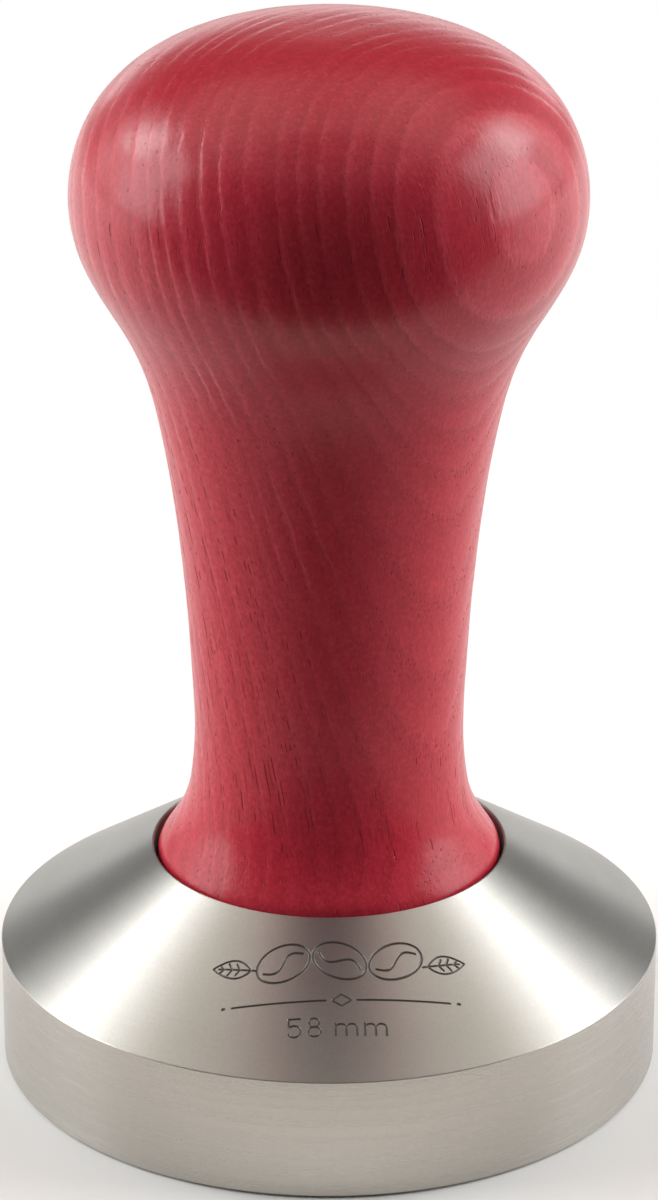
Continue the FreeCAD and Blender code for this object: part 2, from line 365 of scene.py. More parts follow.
def wood_material():
    """Ash, stained red, under a satin lacquer that leaves the pores open."""
    m, nt, bsdf = new_material("stained_ash")
    g = Graph(nt)
    p = g.object_mm()
    # position along the fibre and across it
    along = g.vec("DOT_PRODUCT", p, tuple(GRAIN))
    across = g.vec("DOT_PRODUCT", p, tuple(ACROSS))
    aside = g.vec("DOT_PRODUCT", p, tuple(ASIDE))
    long_fibre = g.combine(across, aside, g.math("MULTIPLY", along, 0.035))
    short_fibre = g.combine(across, aside, g.math("MULTIPLY", along, 0.16))

    wander = g.math("MULTIPLY", g.math("SUBTRACT", g.noise(short_fibre, 0.9, 3, 0.6), 0.5), 0.34)
    ring = g.math("FRACT", g.math("ADD", g.attribute("ring"), wander))
    early = g.ramp(ring, [(0.0, 0.66), (0.10, 1.0), (0.24, 0.88), (0.45, 0.42), (0.65, 0.08), (0.84, 0.0), (1.0, 0.66)], "B_SPLINE")
    fibre = g.noise(long_fibre, 5.5, 4, 0.65)
    streak = g.noise(long_fibre, 1.3, 3, 0.6)
    patch = g.noise(p, 0.085, 2, 0.5)
    fade = g.ramp(g.noise(g.combine(across, aside, g.math("MULTIPLY", along, 0.55)), 0.20, 3, 0.62), [(0.36, 0.10), (0.62, 1.0)])
    fade = g.math("MAXIMUM", fade, g.ramp(g.math("MULTIPLY_ADD", g.attribute("ring"), 0.1, -1.5), [(0.0, 0.95), (0.42, 0.85), (0.72, 0.0), (1.0, 0.0)]))
    broken = g.ramp(g.noise(short_fibre, 2.4, 3, 0.7), [(0.30, 0.30), (0.60, 1.0)])
    # the hard last growth of each year stands a little proud; its lighter colour is partly less stain and partly a
    # painted highlight along the ring lines
    ridge = g.math("MULTIPLY", g.ramp(ring, [(0.0, 0.0), (0.66, 0.0), (0.88, 1.15), (0.98, 0.0), (1.0, 0.0)], "B_SPLINE"), g.math("MULTIPLY", fade, broken))
    # the figure is plain on the knob, where the turning cuts the years slantwise, and faint down the stem
    shown = g.ramp(g.math("MULTIPLY_ADD", g.split(p)[2], 0.05, -2.9), [(0.0, 0.14), (0.28, 0.22), (0.76, 1.0), (1.0, 1.0)])
    # end grain drinks more of it
    facing = g.math("ABSOLUTE", g.vec("DOT_PRODUCT", g.node("ShaderNodeTexCoord").outputs["Normal"], tuple(GRAIN)))
    end = g.ramp(facing, [(0.0, 0.0), (0.52, 0.0), (0.95, 1.0), (1.0, 1.0)])
    speck = g.noise(short_fibre, 4.2, 3, 0.75)
    mottle = g.noise(p, 2.3, 3, 0.72)

    # small pores: long thin cells, crowded in the early wood
    cell = g.node("ShaderNodeTexVoronoi", feature="F1", distance="EUCLIDEAN")
    g.feed(cell.inputs["Vector"], g.combine(
        g.math("ADD", across, g.math("MULTIPLY", fibre, 0.12)), aside, g.math("MULTIPLY", along, 0.11)))
    cell.inputs["Scale"].default_value = 3.1
    cell.inputs["Randomness"].default_value = 1.0
    dot = g.ramp(cell.outputs["Distance"], [(0.0, 1.0), (0.12, 0.85), (0.22, 0.0), (1.0, 0.0)])
    chosen = g.ramp(g.split(cell.outputs["Color"])[0], [(0.0, 0.0), (0.50, 0.0), (0.58, 1.0), (1.0, 1.0)])
    dot = g.math("MULTIPLY", dot, chosen)
    dot = g.math("MULTIPLY", dot, g.math("MULTIPLY_ADD", early, 0.80, 0.20))
    pore = g.attribute("pore")

    # stain: deeper in the early wood and in the pores
    col = g.mix(g.math("MULTIPLY", early, g.math("MULTIPLY_ADD", shown, 0.32, 0.40)), (0.650, 0.0365, 0.0665), (0.505, 0.0250, 0.0465))
    # painted highlight: the ring lines are coloured lighter, partly for the late wood's paler stain and partly in place
    # of glints off their relief
    col = g.mix(g.math("MULTIPLY", ridge, g.math("MULTIPLY", shown, 0.90)), col, (0.880, 0.1150, 0.1600))
    col = g.mix(g.math("MULTIPLY", end, 0.90), col, (0.400, 0.0180, 0.0310))
    col = g.mix(g.ramp(fibre, [(0.34, 0.0), (0.74, 0.36)]), col, (0.440, 0.0215, 0.0350))
    col = g.mix(g.ramp(streak, [(0.42, 0.0), (0.75, 0.28)]), col, (0.700, 0.0520, 0.0760))
    col = g.mix(g.ramp(patch, [(0.35, 0.0), (0.70, 0.20)]), col, (0.480, 0.0250, 0.0390))
    col = g.mix(g.ramp(speck, [(0.50, 0.0), (0.72, 0.50)]), col, (0.330, 0.0150, 0.0260))
    col = g.mix(g.ramp(mottle, [(0.46, 0.0), (0.70, 0.42)]), col, (0.400, 0.0190, 0.0340))
    col = g.mix(g.ramp(mottle, [(0.30, 0.34), (0.48, 0.0)]), col, (0.820, 0.0640, 0.1000))
    col = g.mix(g.math("MULTIPLY", dot, 0.42), col, (0.230, 0.0105, 0.0180))
    col = g.mix(g.math("MULTIPLY", pore, 0.38), col, (0.260, 0.0115, 0.0205))
    g.feed(bsdf.inputs["Base Color"], col)

    rough = g.math("MULTIPLY_ADD", early, 0.05, 0.31)
    rough = g.math("ADD", rough, g.math("MULTIPLY", g.math("SUBTRACT", fibre, 0.5), 0.14))
    rough = g.math("ADD", rough, g.math("MULTIPLY", g.math("MAXIMUM", dot, pore), 0.25), clamp=True)
    g.feed(bsdf.inputs["Roughness"], rough)
    bsdf.inputs["Specular IOR Level"].default_value = 0.12
    bsdf.inputs["IOR"].default_value = 1.5

    # relief: early wood sunk by sanding, fibre lines, open pores, and the film's own slight waviness
    relief = g.math("MULTIPLY", g.math("SUBTRACT", g.math("MULTIPLY", ridge, 0.6), early), fade)
    n = g.bump(relief, 0.032)
    n = g.bump(fibre, 0.010, normal=n)
    n = g.bump(speck, 0.015, normal=n)
    n = g.bump(g.math("MULTIPLY", dot, -1.0), 0.028, normal=n)
    n = g.bump(g.noise(p, 3.2, 3, 0.6), 0.005, normal=n)
    g.feed(bsdf.inputs["Normal"], n)

    film = g.bump(relief, 0.030)
    film = g.bump(fibre, 0.005, normal=film)
    film = g.bump(speck, 0.010, normal=film)
    film = g.bump(mottle, 0.006, normal=film)
    film = g.bump(g.noise(p, 1.1, 2, 0.5), 0.010, normal=film)
    # the hand keeps the knob polished; the film is duller under it and down the stem
    polish = g.ramp(g.math("MULTIPLY", g.split(p)[2], 0.01), [(0.0, 0.42), (0.52, 0.30), (0.68, 0.30), (0.80, 0.62), (0.87, 0.62), (0.925, 0.40), (1.0, 0.40)])
    g.feed(bsdf.inputs["Coat Weight"], polish)
    g.feed(bsdf.inputs["Coat Roughness"], g.math("MULTIPLY_ADD", g.noise(p, 0.6, 3, 0.6), 0.07, 0.165))
    bsdf.inputs["Coat IOR"].default_value = 1.5
    g.feed(bsdf.inputs["Coat Normal"], film)
    return m


def steel_material():
    """Stainless steel as it comes off the lathe, brushed round: the tool marks run round the axis, so reflections spread across them."""
    m, nt, bsdf = new_material("turned_stainless")
    g = Graph(nt)
    p = g.object_mm()
    x, y, z = g.split(p)
    radius = g.vec("LENGTH", g.combine(x, y, 0.0))
    # distance along the outline, near enough: what changes from one tool mark to the next
    lane = g.math("ADD", radius, g.math("MULTIPLY", z, 1.31))
    turn = g.math("ARCTAN2", x, y)
    fine = g.noise(None, 9.0, 3, 0.7, dims="1D", w=lane)
    broad = g.noise(None, 0.9, 2, 0.5, dims="1D", w=lane)
    # brush marks: short arcs round the axis
    arc = g.combine(g.math("MULTIPLY", lane, 6.5), g.math("MULTIPLY", turn, 3.2), 0.0)
    brush = g.noise(arc, 1.0, 4, 0.72)
    cloud = g.noise(p, 0.16, 3, 0.55)
    cut = g.attribute("cut")

    grit = g.noise(p, 4.6, 3, 0.75)
    tone = g.math("MULTIPLY_ADD", g.math("SUBTRACT", brush, 0.5), 0.15, 1.0)
    tone = g.math("ADD", tone, g.math("MULTIPLY", g.math("SUBTRACT", cloud, 0.5), 0.10))
    tone = g.math("ADD", tone, g.math("MULTIPLY", g.math("SUBTRACT", grit, 0.5), 0.28))
    steel = g.mix(g.ramp(cloud, [(0.3, 0.0), (0.7, 1.0)]), (0.560, 0.549, 0.517), (0.540, 0.533, 0.503))
    n = g.node("ShaderNodeMix", data_type="RGBA", blend_type="MULTIPLY")
    n.inputs[0].default_value = 1.0
    g.link(steel, n.inputs[6])
    g.feed(n.inputs[7], g.combine(tone, tone, tone))
    col = g.mix(g.math("MULTIPLY", cut, 0.70), n.outputs[2], (0.115, 0.080, 0.066))
    g.feed(bsdf.inputs["Base Color"], col)
    bsdf.inputs["Metallic"].default_value = 1.0

    # the cone is brushed with a longer stroke than the rim and the rest
    cone = g.math("MULTIPLY", g.math("GREATER_THAN", z, RIM_H - 0.05), g.math("GREATER_THAN", radius, RECESS_R - 0.05))
    rough = g.math("MULTIPLY_ADD", brush, 0.10, g.math("MULTIPLY_ADD", cone, 0.150, 0.215))
    rough = g.math("ADD", rough, g.math("MULTIPLY", g.math("SUBTRACT", broad, 0.5), 0.05))
    rough = g.math("ADD", rough, g.math("MULTIPLY", cut, 0.22), clamp=True)
    g.feed(bsdf.inputs["Roughness"], rough)
    bsdf.inputs["Anisotropic"].default_value = 0.85
    bsdf.inputs["Anisotropic Rotation"].default_value = 0.25
    tangent = g.node("ShaderNodeTangent", direction_type="RADIAL", axis="Z")
    g.feed(bsdf.inputs["Tangent"], tangent.outputs[0])

    n = g.bump(fine, 0.0035)
    n = g.bump(brush, 0.0022, normal=n)
    g.feed(bsdf.inputs["Normal"], n)
    return m


def plated_material():
    """Stainless set screw: rolled thread, lighter on the crests and darkened by painted shade in the roots."""
    m, nt, bsdf = new_material("screw_steel")
    g = Graph(nt)
    p = g.object_mm()
    x, y, z = g.split(p)
    radius = g.vec("LENGTH", g.combine(x, y, 0.0))
    # painted shade: the colour is lightest on the crests and darkens into the thread roots
    crest_lit_root_shaded = g.ramp(g.math("MULTIPLY_ADD", radius, 1.2, -3.8), [(0.0, 0.0), (0.35, 0.25), (0.85, 1.0)])
    grime = g.noise(p, 0.9, 4, 0.65)
    spin = g.noise(g.combine(g.math("MULTIPLY", radius, 9.0), g.math("MULTIPLY", z, 7.0), g.math("ARCTAN2", x, y)), 1.0, 3, 0.7)
    col = g.mix(crest_lit_root_shaded, (0.360, 0.350, 0.335), (0.620, 0.610, 0.590))
    col = g.mix(g.ramp(grime, [(0.40, 0.0), (0.70, 0.35)]), col, (0.300, 0.285, 0.260))
    g.feed(bsdf.inputs["Base Color"], col)
    bsdf.inputs["Metallic"].default_value = 1.0
    g.feed(bsdf.inputs["Roughness"], g.math("MULTIPLY_ADD", spin, 0.20, 0.20, clamp=True))
    n = g.bump(spin, 0.006)
    n = g.bump(grime, 0.004, normal=n)
    g.feed(bsdf.inputs["Normal"], n)
    return m


def brass_material():
    """Machined brass with a little patchy dulling."""
    m, nt, bsdf = new_material("machined_brass")
    g = Graph(nt)
    p = g.object_mm()
    x, y, z = g.split(p)
    radius = g.vec("LENGTH", g.combine(x, y, 0.0))
    lathe_mark = g.noise(g.combine(g.math("MULTIPLY", radius, 8.0), g.math("MULTIPLY", z, 8.0), g.math("ARCTAN2", x, y)), 1.0, 3, 0.7)
    dull = g.noise(p, 0.7, 4, 0.6)
    col = g.mix(g.ramp(dull, [(0.35, 0.0), (0.70, 1.0)]), (0.790, 0.560, 0.250), (0.560, 0.370, 0.150))
    g.feed(bsdf.inputs["Base Color"], col)
    bsdf.inputs["Metallic"].default_value = 1.0
    g.feed(bsdf.inputs["Roughness"], g.math("MULTIPLY_ADD", lathe_mark, 0.20, g.math("MULTIPLY", dull, 0.30), clamp=True))
    n = g.bump(lathe_mark, 0.006)
    n = g.bump(dull, 0.006, normal=n)
    g.feed(bsdf.inputs["Normal"], n)
    return m


def rubber_material():
    """Black moulded rubber, matt, with talc dust in the fine texture."""
    m, nt, bsdf = new_material("black_rubber")
    g = Graph(nt)
    p = g.object_mm()
    grainy = g.noise(p, 5.0, 4, 0.65)
    dust = g.noise(p, 0.55, 4, 0.6)
    col = g.mix(g.ramp(dust, [(0.42, 0.0), (0.78, 0.55)]), (0.020, 0.020, 0.021), (0.062, 0.060, 0.058))
    g.feed(bsdf.inputs["Base Color"], col)
    g.feed(bsdf.inputs["Roughness"], g.math("MULTIPLY_ADD", grainy, 0.22, 0.62, clamp=True))
    bsdf.inputs["Specular IOR Level"].default_value = 0.4
    n = g.bump(grainy, 0.030)
    g.feed(bsdf.inputs["Normal"], n)
    return m


WOOD = wood_material()
STEEL = steel_material()
PLATED = plated_material()
BRASS = brass_material()
RUBBER = rubber_material()


# --------------------------------------------------------------- tamping base
# Engraving on the front of the cone: three outlined coffee beans between two
# leaves, a thin rule with a lozenge, and the basket size. It is drawn in the
# plane that touches the cone along its front line: x across, v up the slope
# from the rim's edge, in millimetres.
MARK_TURN = math.radians(2.7)
CONE_RUN, CONE_RISE = BASE_R - RECESS_R, CONE_TOP_Z - RIM_H
CONE_LEN = math.hypot(CONE_RUN, CONE_RISE)
CONE_C, CONE_S = CONE_RUN / CONE_LEN, CONE_RISE / CONE_LEN
GROOVE_DEPTH = 0.085


def oval(cx, cy, a, b, turn, n=40, start=0.0, sweep=360.0):
    c, s = math.cos(math.radians(turn)), math.sin(math.radians(turn))
    pts = []
    for k in range(n + 1):
        t = math.radians(start + sweep * k / n)
        u, v = a * math.cos(t), b * math.sin(t)
        pts.append((cx + u * c - v * s, cy + u * s + v * c))
    return pts


def bean(cx, cy, turn, size=1.0):
    """A coffee bean seen from its flat side: an oval with an S-shaped crease."""
    a, b = 1.92 * size, 1.34 * size
    c, s = math.cos(math.radians(turn)), math.sin(math.radians(turn))
    crease = []
    for k in range(15):
        t = -1 + 2 * k / 14
        u, v = t * a * 0.80, 0.30 * b * math.sin(math.pi * t)
        crease.append((cx + u * c - v * s, cy + u * s + v * c))
    return [oval(cx, cy, a, b, turn), crease]


def leaf(cx, cy, turn, length=4.0, width=1.55):
    """A pointed leaf with its midrib and three pairs of veins."""
    c, s = math.cos(math.radians(turn)), math.sin(math.radians(turn))
    put = lambda u, v: (cx + u * c - v * s, cy + u * s + v * c)
    half = length / 2
    upper = [put(-half + length * k / 14, width / 2 * math.sin(math.pi * (k / 14) ** 0.85) ** 0.9) for k in range(15)]
    lower = [put(-half + length * k / 14, -width / 2 * math.sin(math.pi * (k / 14) ** 0.85) ** 0.9) for k in range(15)]
    lines = [upper, lower, [put(-half - 0.45, 0), put(half * 0.72, 0)]]
    for k, r in ((-0.42, 0.62), (0.0, 0.66), (0.42, 0.42)):
        for side in (1, -1):
            lines.append([put(k * half, 0), put(k * half + 0.34, side * width / 2 * r)])
    return lines


def digits(x, v, h):
    """The size, 58 mm, in single strokes. x is the left end, v the foot line, h the height."""
    w = h * 0.66
    five = [(x + w * 0.95, v + h), (x + w * 0.12, v + h), (x + w * 0.06, v + h * 0.56)]
    for k in range(13):
        t = math.radians(118 - k * 22.5)
        five.append((x + w * 0.47 + w * 0.47 * math.cos(t), v + h * 0.32 + h * 0.32 * math.sin(t)))
    x2 = x + w * 1.45
    eight = [
        oval(x2 + w * 0.5, v + h * 0.76, w * 0.37, h * 0.24, 0, 22),
        oval(x2 + w * 0.5, v + h * 0.26, w * 0.47, h * 0.26, 0, 24),
    ]
    lines = [five] + eight
    x3 = x2 + w * 2.05
    for k in range(2):
        left = x3 + k * h * 1.42
        top = v + h * 0.62
        lines.append([(left, v), (left, top + h * 0.04)])
        for j in range(2):
            a = left + j * h * 0.52
            hump = [(a, v + h * 0.42)]
            for i in range(9):
                t = math.radians(170 - i * 21)
                hump.append((a + h * 0.26 + h * 0.26 * math.cos(t), v + h * 0.42 + h * 0.22 * math.sin(t)))
            hump += [(a + h * 0.52, v + h * 0.36), (a + h * 0.52, v)]
            lines.append(hump)
    return lines


def engraving():
    strokes = []
    row = 11.72
    for cx, turn in ((-4.75, 26), (0.0, -26), (4.75, 26)):
        strokes += [(s, 0.125) for s in bean(cx, row, turn, 1.24)]
    strokes += [(s, 0.110) for s in leaf(-9.05, row, 180 - 12, 3.2, 1.75)]
    strokes += [(s, 0.110) for s in leaf(9.05, row, 12, 3.2, 1.75)]
    v = 7.9
    strokes.append(([(-9.2, v), (-1.3, v)], 0.105))
    strokes.append(([(1.3, v), (9.2, v)], 0.105))
    strokes.append(([(-0.85, v), (0, v + 0.56), (0.85, v), (0, v - 0.56), (-0.85, v)], 0.105))
    for side in (-1, 1):
        strokes.append(([(side * 9.85, v), (side * 10.0, v)], 0.15))
    strokes += [(s, 0.105) for s in digits(-4.62, 4.50, 1.74)]
    return strokes


def triangulate(points, edges, near=1e-6):
    """Constrained triangles over flat points: the triangles and, for each vertex, the point it came from."""
    flat = [Vector((float(x), float(y))) for x, y in points]
    verts, _, faces, orig, _, _ = delaunay_2d_cdt(flat, edges, [], 0, near, True)
    points = np.asarray(points, float)
    source = [list(o) for o in orig]
    xy = np.array([points[o[0]] if o else (v[0], v[1]) for v, o in zip(verts, source)])
    tri = np.array([f for f in faces if len(f) == 3])
    a, b, c = xy[tri[:, 0]], xy[tri[:, 1]], xy[tri[:, 2]]
    area = (b[:, 0] - a[:, 0]) * (c[:, 1] - a[:, 1]) - (c[:, 0] - a[:, 0]) * (b[:, 1] - a[:, 1])
    tri[area < 0] = tri[area < 0][:, [0, 2, 1]]
    return xy, tri[np.abs(area) > 1e-9], source


def cross_normals(points, tri):
    """Unit normals of triangles, and which of them have an area."""
    n = np.cross(points[tri[:, 1]] - points[tri[:, 0]], points[tri[:, 2]] - points[tri[:, 0]])
    length = np.linalg.norm(n, axis=1)
    return n / np.maximum(length, 1e-12)[:, None], length > 1e-9


def cut_up(line, step):
    """The same polyline with points every step or less."""
    out = [line[0]]
    for a, b in zip(line, line[1:]):
        n = max(1, math.ceil(math.hypot(b[0] - a[0], b[1] - a[1]) / step))
        out += [(a[0] + (b[0] - a[0]) * k / n, a[1] + (b[1] - a[1]) * k / n) for k in range(1, n + 1)]
    return out


def offset_line(line, d):
    """The polyline moved sideways by d, mitred at its points."""
    closed = math.hypot(line[0][0] - line[-1][0], line[0][1] - line[-1][1]) < 1e-6
    pts = np.array(line[:-1] if closed else line, float)
    n = len(pts)
    out = []
    for i in range(n):
        dirs = []
        if closed or i > 0:
            q = pts[i] - pts[i - 1]
            dirs.append(q / np.linalg.norm(q))
        if closed or i < n - 1:
            q = pts[(i + 1) % n] - pts[i]
            dirs.append(q / np.linalg.norm(q))
        norms = [np.array([-q[1], q[0]]) for q in dirs]
        m = sum(norms)
        m = m / max(np.linalg.norm(m), 1e-9)
        m = m / max(0.45, float(m @ norms[0]))
        out.append(tuple(pts[i] + d * m))
    return out + [out[0]] if closed else out


def plane_to_cone(x, v):
    """Angle and slope distance of the point of the cone that lies straight under (x, v) of the touching plane."""
    n = np.array([0.0, -CONE_S, CONE_C])
    p = np.array([x, -(BASE_R - v * CONE_C), RIM_H + v * CONE_S])
    lam = 0.0
    for _ in range(12):
        q = p - lam * n
        gap = math.hypot(q[0], q[1]) - (BASE_R - (q[2] - RIM_H) / math.tan(math.asin(CONE_S)))
        lam += gap * 0.9
    q = p - lam * n
    return math.atan2(q[0], -q[1]) + MARK_TURN, (q[2] - RIM_H) / CONE_S


def cone_to_plane(a, v):
    """The same the other way, for arrays."""
    r = BASE_R - v * CONE_C
    x = r * np.sin(a - MARK_TURN)
    y = -r * np.cos(a - MARK_TURN)
    z = RIM_H + v * CONE_S
    g = (y + BASE_R) * CONE_C + (z - RIM_H) * CONE_S
    return x, g


def make_base():
    shell = Shell()
    turns = 720
    full = circle(turns)
    front = 106                      # columns each side of the front that the engraved panel covers
    # underside, faced flat, with the shallow dimple of the lathe centre
    soft = 0.07
    k = math.sqrt(0.5)
    rows = [(0.0, 0.045, 0, -1), (0.7, 0.040, 0.06, -1), (1.15, 0.0, 0.02, -1), (1.3, 0.0, 0, -1)]
    rows += [(r, 0.0, 0, -1) for r in (4, 8, 12, 16, 20, 24, 27)]
    rows += arc_rows(BASE_R - FACE_EDGE - soft * 0.6, soft, soft, -90, -45, 2)
    rows += [(BASE_R - soft * 0.4, FACE_EDGE - soft * 0.5, k, -k)]
    rows += [(BASE_R - 0.006, FACE_EDGE, 0.95, -0.31), (BASE_R, FACE_EDGE + 0.05, 1, 0)]
    # rim, then a small round over onto the cone
    lean = math.degrees(math.atan2(CONE_C, CONE_S))      # direction of the cone's outward normal
    edge = 0.16
    reach = edge * math.tan(math.radians(lean / 2))
    rows += straight(BASE_R, 0.45, BASE_R, RIM_H - reach, 1, 0, 14)
    rows += arc_rows(BASE_R - edge, RIM_H - reach, edge, 0, lean, 4)[1:]
    lathe(shell, rows, full)
    v0 = reach
    # cone
    lip_r = 0.13
    drop = lip_r * math.tan(math.radians((180 - lean) / 2))
    v1 = CONE_LEN - drop
    cone_v = [v0 + (v1 - v0) * i / 26 for i in range(27)]
    cone_row = lambda v: (BASE_R - v * CONE_C, RIM_H + v * CONE_S, CONE_S, CONE_C)
    lathe(shell, [cone_row(v) for v in cone_v], full[front:turns - front + 1])
    engraved_panel(shell, cone_v, front, turns)
    # lip of the recess, its wall, corner and floor
    lip = arc_rows(RECESS_R + lip_r, CONE_TOP_Z - drop, lip_r, lean, 180, 5)
    wall = straight(RECESS_R, CONE_TOP_Z - drop, RECESS_R, RECESS_Z + 0.3, -1, 0, 4)[1:]
    corner = [(r, z, -nr, -nz) for r, z, nr, nz in arc_rows(RECESS_R - 0.3, RECESS_Z + 0.3, 0.3, 0, -90, 4)][1:]
    lathe(shell, [cone_row(v1)] + lip[1:] + wall + corner, full)
    count = 144
    floor = [(r, RECESS_Z, 0, 1) for r in (14.2, 12.0, 9.5, 7.0, 5.2, BORE_MOUTH_R + 0.08)]
    zipper(shell, (RECESS_R - 0.3, RECESS_Z, turns), (14.2, RECESS_Z, count), (0, 0, 1))
    lathe(shell, floor, circle(count))
    threaded_bore(shell, circle(count))
    return shell.build("tamping_base_turned", [STEEL], mark="cut")


def engraved_panel(shell, cone_v, front, turns):
    """The front of the cone, triangulated round the engraved lines, which are cut in as rounded grooves."""
    step = 2 * math.pi / turns
    scale = 22.0                     # millimetres per radian in the flat sheet
    lo, hi = -front * step, front * step
    pts, edges = [], []

    def add(a, v):
        pts.append((a * scale, v))
        return len(pts) - 1

    # border, point for point as the neighbouring strips
    loop = [add(k * step, cone_v[0]) for k in range(-front, front + 1)]
    loop += [add(hi, v) for v in cone_v[1:-1]]
    loop += [add(k * step, cone_v[-1]) for k in range(front, -front - 1, -1)]
    loop += [add(lo, v) for v in reversed(cone_v[1:-1])]
    edges += [(loop[i], loop[(i + 1) % len(loop)]) for i in range(len(loop))]

    segs = []
    for line, half in engraving():
        fine = cut_up(line, 0.17)
        segs += [(a[0], a[1], b[0], b[1], half) for a, b in zip(fine, fine[1:])]
        closed = math.hypot(line[0][0] - line[-1][0], line[0][1] - line[-1][1]) < 1e-6
        tracks = [fine] + [offset_line(fine, s * half * f) for s in (1, -1) for f in (0.55, 1.0)]
        if not closed:
            # rounded ends
            for end, nxt in ((fine[0], fine[1]), (fine[-1], fine[-2])):
                d = math.atan2(end[1] - nxt[1], end[0] - nxt[0])
                for f in (0.55, 1.0):
                    tracks.append([
                        (end[0] + half * f * math.cos(d + math.radians(t)), end[1] + half * f * math.sin(d + math.radians(t)))
                        for t in (-90, -45, 0, 45, 90)
                    ])
        for track in tracks:
            ids = [add(*plane_to_cone(x, v)) for x, v in track]
            edges += list(zip(ids, ids[1:]))
    segs = np.array(segs)

    def distance(x, v):
        """Distance to the nearest line's middle, in units of its half width, for arrays."""
        best = np.full(len(x), 99.0)
        for i in range(0, len(segs), 48):
            ax, ay, bx, by, h = segs[i:i + 48].T
            dx, dy = bx - ax, by - ay
            t = ((x[:, None] - ax) * dx + (v[:, None] - ay) * dy) / (dx * dx + dy * dy)
            t = np.clip(t, 0, 1)
            d = np.hypot(x[:, None] - ax - t * dx, v[:, None] - ay - t * dy) / h
            best = np.minimum(best, d.min(axis=1))
        return best

    # filler points, staggered, clear of the lines
    n = 118
    grid = [
        (lo + (hi - lo) * (k + (0.5 if i % 2 else 0.0)) / n, cone_v[i])
        for i in range(1, len(cone_v) - 1) for k in range(1, n)
    ]
    grid = np.array([q for q in grid if q[0] < hi - step * 0.8])
    clear = distance(*cone_to_plane(grid[:, 0], grid[:, 1])) > 2.2
    for a, v in grid[clear]:
        add(a, v)

    xy, tri, _ = triangulate(pts, edges, 1e-3)
    ang, v = xy[:, 0] / scale, xy[:, 1]
    d = distance(*cone_to_plane(ang, v))
    depth = GROOVE_DEPTH * np.clip(1 - d * d, 0, 1)
    depth[(v < cone_v[0] + 1e-6) | (v > cone_v[-1] - 1e-6)] = 0
    points = around(BASE_R - v * CONE_C - depth * CONE_S, RIM_H + v * CONE_S - depth * CONE_C, ang)
    normals = around(CONE_S, CONE_C, ang)[tri]
    centre = cone_to_plane(ang[tri].mean(axis=1), v[tri].mean(axis=1))
    inside = (distance(*centre) < 0.99) & (depth[tri].max(axis=1) > 1e-4)
    flat, solid = cross_normals(points, tri)
    normals[inside] = flat[inside][:, None]
    marks = np.where(inside, np.clip(0.45 + 0.55 * depth[tri].mean(axis=1) / 0.06, 0, 1), 0)
    shell.patch(points, tri[solid], normals[solid], marks[solid])


def threaded_bore(shell, angles):
    """The blind M8 hole: countersunk mouth, thread cut as a true helix, drilled point."""
    half_root, half_crest = 0.0746, 0.4557
    mouth = RECESS_Z - 0.04
    turn = PITCH * (angles - math.pi / 2) / (2 * math.pi)     # the helix is counted from +X
    turn[-1] = PITCH * 0.75

    def wall(z):
        """Radius for heights z (rows, angles)."""
        off = (z - THREAD_Z - turn) % PITCH
        off = np.minimum(off, PITCH - off)
        r = BORE_ROOT_R + (BORE_R - BORE_ROOT_R) * np.clip((off - half_root) / (half_crest - half_root), 0, 1)
        return np.maximum(r, np.minimum(BORE_MOUTH_R + (z - RECESS_Z), BORE_MOUTH_R))

    # rows follow the helix, so the thread's edges are crisp; they are held between the floor and the mouth
    k0 = math.floor((BORE_FLOOR_Z - THREAD_Z) / PITCH) - 2
    k1 = math.ceil((mouth - THREAD_Z) / PITCH) + 2
    rows = np.array([
        THREAD_Z + PITCH * k + o
        for k in range(k0, k1 + 1) for o in (-half_crest, -half_root, half_root, half_crest, PITCH / 2)
    ])
    z = np.clip(rows[:, None] + turn[None], BORE_FLOOR_Z, mouth)
    # past one turn the helix has moved up by a whole pitch, so the last column meets the first one row group up
    points = around(wall(z), z, angles[None])
    n, m = z.shape
    i, j = np.meshgrid(np.arange(n - 1), np.arange(m - 1), indexing="ij")
    a = (i * m + j).reshape(-1)
    faces = np.stack([a, a + 1, a + m + 1, a + m], 1)
    flatp = points.reshape(-1, 3)
    nrm = np.cross(flatp[faces[:, 2]] - flatp[faces[:, 0]], flatp[faces[:, 3]] - flatp[faces[:, 1]])
    length = np.linalg.norm(nrm, axis=1)
    good = length > 1e-9
    # the wall faces the axis
    nrm = -nrm[good] / length[good][:, None]
    shell.patch(flatp, faces[good][:, ::-1], np.repeat(nrm[:, None], 4, axis=1))

    def band(r0, z0, r1, z1, normal):
        """A ring of quads from (r0, z0) to (r1, z1); the radii may vary with the angle."""
        m = len(angles)
        pts = np.concatenate([around(r0, z0, angles), around(r1, z1, angles)])
        j = np.arange(m - 1)
        faces = np.stack([j, j + 1, j + 1 + m, j + m], 1)
        nr, nz = normal
        shell.patch(pts, faces, np.concatenate([around(nr, nz, angles)] * 2))

    band(BORE_MOUTH_R + 0.08, RECESS_Z, wall(np.full((1, m), mouth))[0], mouth, (-0.5, 0.87))
    foot = wall(np.full((1, m), BORE_FLOOR_Z))[0]
    band(foot, BORE_FLOOR_Z, BORE_R, BORE_FLOOR_Z, (0, 1))
    tip = BORE_R / math.tan(math.radians(59.0))
    lathe(shell, [(r, BORE_FLOOR_Z - tip * (1 - r / BORE_R), -0.515, 0.857) for r in (BORE_R, 1.2, 0.0)], angles)


